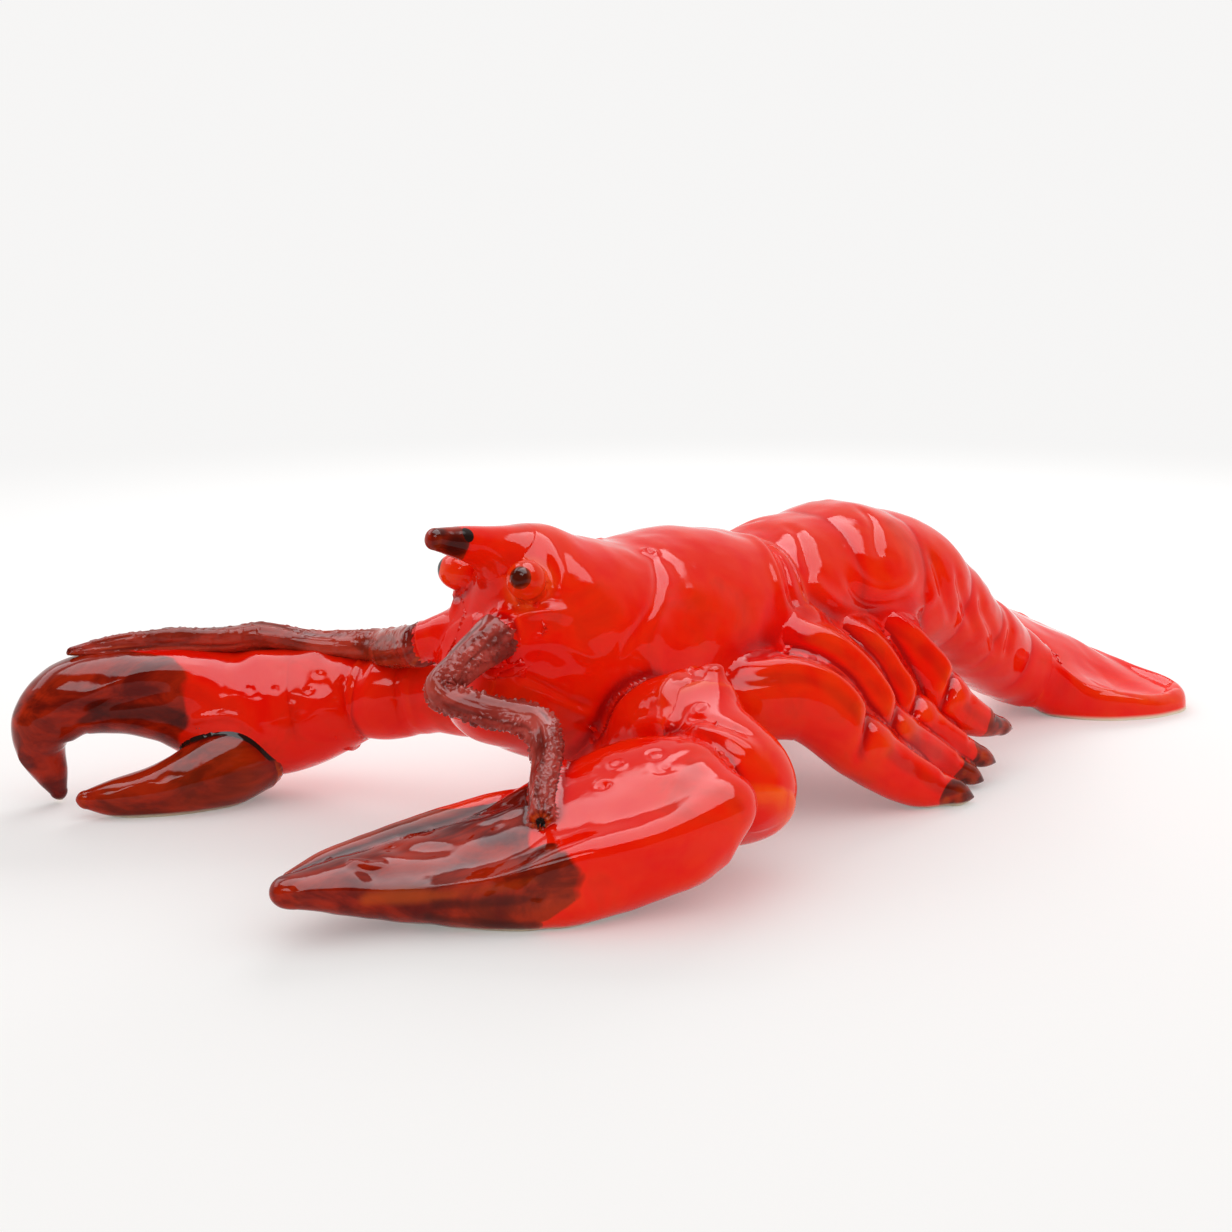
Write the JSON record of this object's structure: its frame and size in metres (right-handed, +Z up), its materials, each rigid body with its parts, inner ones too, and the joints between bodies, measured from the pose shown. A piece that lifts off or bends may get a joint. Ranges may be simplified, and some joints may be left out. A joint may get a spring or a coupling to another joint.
{
  "type": "ceramic lobster figurine",
  "caption": "Glazed ceramic lobster lying flat, claws forward, arched abdomen and spread tail fan, assembled from luted castings.",
  "frame": {"origin": "middle of the footprint on the table under the figure", "axes": "+X is the lobster's own left, +Y runs from head to tail, +Z is up"},
  "size_m": [0.2522, 0.4474, 0.1061],
  "materials": {
    "scarlet_glaze": "high gloss scarlet glaze over cream earthenware",
    "maroon_glaze": "high gloss manganese brown over scarlet"
  },
  "bodies": {
    "root": {"carapace": "scarlet_glaze", "abdomen": "scarlet_glaze", "tail_fan": "scarlet_glaze", "rostrum": "scarlet_glaze", "eye_left": "scarlet_glaze", "eye_right": "scarlet_glaze", "antenna_base_left": "scarlet_glaze", "antenna_base_right": "scarlet_glaze", "arm_left": "scarlet_glaze", "wrist_left": "scarlet_glaze", "claw_left": "maroon_glaze", "claw_finger_left": "maroon_glaze", "arm_right": "scarlet_glaze", "wrist_right": "scarlet_glaze", "claw_right": "scarlet_glaze", "claw_finger_right": "maroon_glaze", "leg_left_1": "scarlet_glaze", "leg_left_2": "scarlet_glaze", "leg_left_3": "scarlet_glaze", "leg_left_4": "scarlet_glaze", "leg_right_1": "scarlet_glaze", "leg_right_2": "scarlet_glaze", "leg_right_3": "scarlet_glaze", "leg_right_4": "scarlet_glaze", "antenna_left": "maroon_glaze", "antenna_right": "maroon_glaze"}
  },
  "joints": []
}
